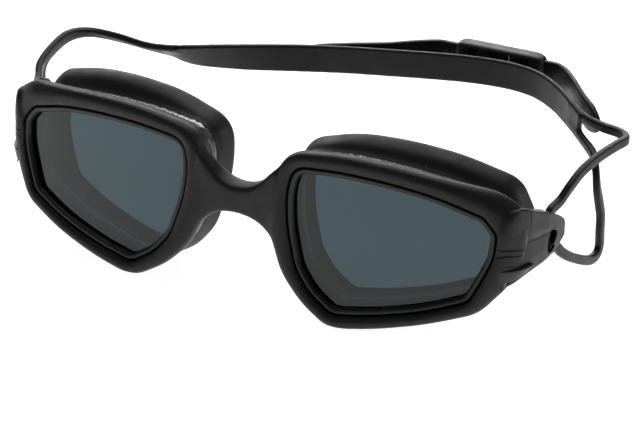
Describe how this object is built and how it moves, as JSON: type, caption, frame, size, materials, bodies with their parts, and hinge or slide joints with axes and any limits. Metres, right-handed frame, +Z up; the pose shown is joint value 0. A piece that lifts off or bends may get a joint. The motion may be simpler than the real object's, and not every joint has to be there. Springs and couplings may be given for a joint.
{
  "type": "swim goggles",
  "caption": "Swim goggles with a one-piece matte front frame, tinted lenses, flared silicone skirts, side clips and a forked strap with a rear buckle.",
  "frame": {"origin": "middle of the footprint, on the surface the goggles stand on", "axes": "+Z up, -Y the way the lenses face, +X towards the wearer's left, which is the right side seen from the front"},
  "size_m": [0.1874, 0.1042, 0.0496],
  "materials": {
    "matte_frame": "matte moulded",
    "bezel": "fine satin",
    "lens": "smoke tint, polished",
    "seal": "matte",
    "flange": "gloss",
    "skirt": "soft matte silicone",
    "clip": "matte moulded",
    "blade": "satin",
    "strap": "matte silicone",
    "rear_band": "matte silicone",
    "buckle": "satin moulded"
  },
  "bodies": {
    "goggle_frame": {"front_frame": "matte_frame", "left_bezel": "bezel", "left_lens": "lens", "left_lens_seal": "seal", "left_flange": "flange", "left_gasket": "skirt", "left_clip": "clip", "left_blade": "blade", "right_bezel": "bezel", "right_lens": "lens", "right_lens_seal": "seal", "right_flange": "flange", "right_gasket": "skirt", "right_clip": "clip", "right_blade": "blade"},
    "head_strap": {"strap": "strap", "rear_band_left": "rear_band", "rear_band_right": "rear_band"},
    "strap_buckle": {"buckle": "buckle"}
  },
  "joints": [
    {"name": "strap_swing", "type": "hinge", "parent": "goggle_frame", "child": "head_strap", "pos_m": [0, -0.01409, 0.025], "axis": [1, 0, 0], "range_deg": [-5, 5], "stiffness_Nm_per_rad": 0.6},
    {"name": "buckle_slide", "type": "slide", "parent": "head_strap", "child": "strap_buckle", "axis": [0.9986, 0.0523, 0], "range_m": [-0.0035, 0.0035]}
  ]
}
